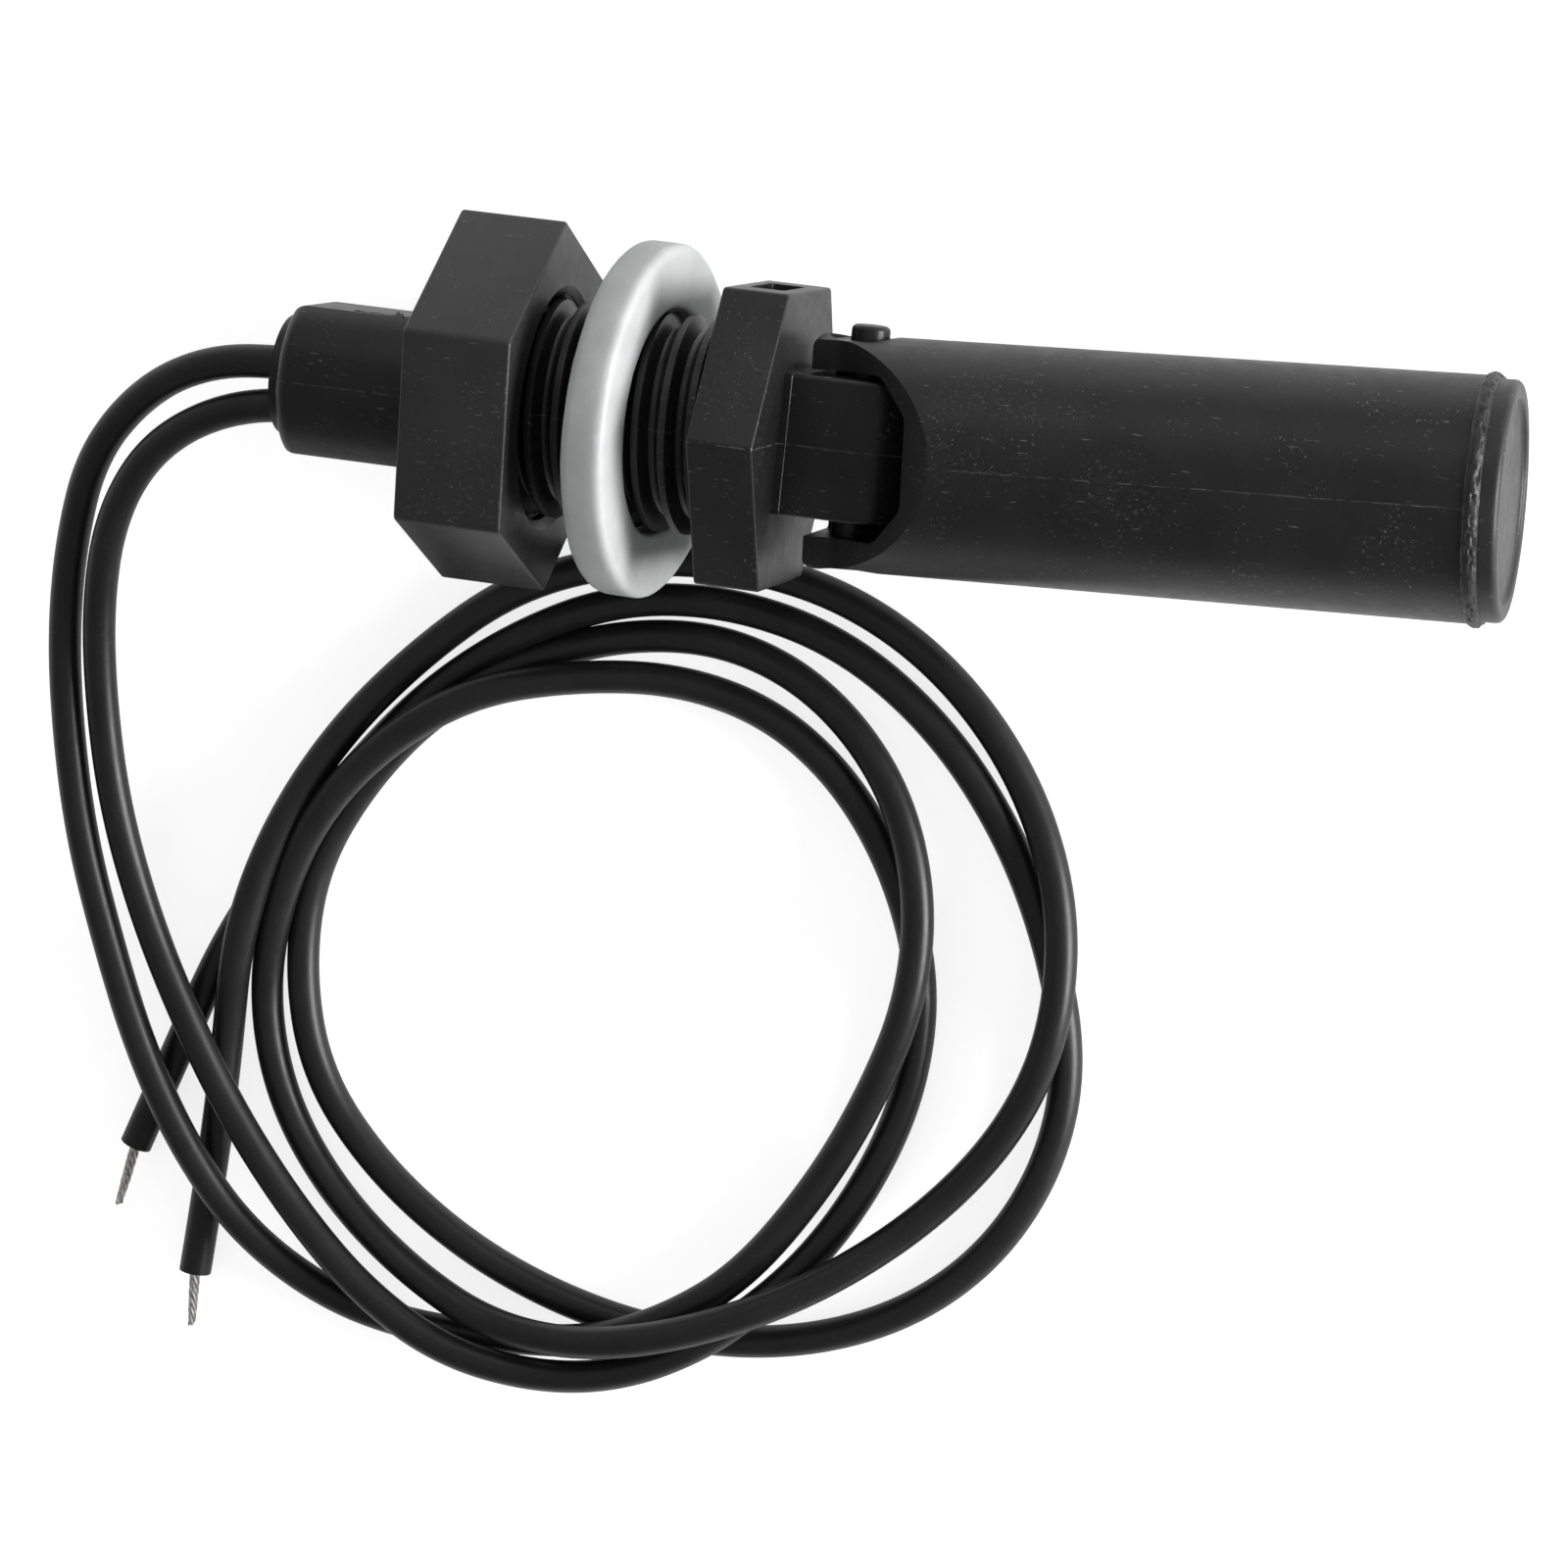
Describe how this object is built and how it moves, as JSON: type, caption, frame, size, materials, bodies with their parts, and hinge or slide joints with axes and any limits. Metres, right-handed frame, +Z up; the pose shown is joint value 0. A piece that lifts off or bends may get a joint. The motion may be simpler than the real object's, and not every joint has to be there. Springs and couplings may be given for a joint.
{
  "type": "float level switch",
  "caption": "Side-mounted float level switch: threaded plastic body with a flange, nut and silicone gasket, a float that swings on two pins, and two free leads",
  "frame": {"origin": "on the thread axis, in the face of the flange that seals on the tank wall", "axes": "+X along the thread axis towards the float, +Y along the hinge pins, +Z up, the side to which the float swings"},
  "size_m": [0.1115, 0.0903, 0.026],
  "materials": {
    "body_plastic": "moulded black plastic, satin with fine speckle",
    "nut_plastic": "moulded black plastic, satin",
    "silicone": "milky translucent silicone, soft",
    "float_plastic": "moulded black plastic, satin",
    "cap_plastic": "black plastic, welded",
    "magnet": "sintered ferrite",
    "reed_alloy": "nickel iron wire",
    "glass": "clear sealing glass",
    "sleeve": "shrunk polyolefin",
    "solder": "bright solder",
    "tinned_copper": "tinned twisted strands",
    "resin": "cast black resin",
    "lead_insulation": "satin black insulation, no print"
  },
  "bodies": {
    "sensor": {"sensor_body": "body_plastic", "reed_near": "reed_alloy", "reed_far": "reed_alloy", "reed_glass": "glass", "return_sleeve": "sleeve", "solder_a": "solder", "solder_b": "solder", "strand_a": "tinned_copper", "strand_b": "tinned_copper", "shrink_a": "sleeve", "shrink_b": "sleeve", "potting_resin": "resin", "lead_a": "lead_insulation", "lead_b": "lead_insulation", "tip_a": "tinned_copper", "tip_b": "tinned_copper"},
    "nut": {"mounting_nut": "nut_plastic"},
    "gasket": {"sealing_gasket": "silicone"},
    "float": {"float_shell": "float_plastic", "float_cap": "cap_plastic", "float_magnet": "magnet"}
  },
  "joints": [
    {"name": "float_hinge", "type": "hinge", "parent": "sensor", "child": "float", "pos_m": [0.00965, 0, 0], "axis": [0, -1, 0], "range_deg": [0, 60]},
    {"name": "nut_slide", "type": "slide", "parent": "sensor", "child": "nut", "axis": [1, 0, 0], "range_m": [0, 0.0077]},
    {"name": "gasket_slide", "type": "slide", "parent": "sensor", "child": "gasket", "axis": [1, 0, 0], "range_m": [0, 0.0036]}
  ],
  "couplings": [
    {"joint": "gasket_slide", "follows": "nut_slide", "ratio": 0.4675}
  ]
}
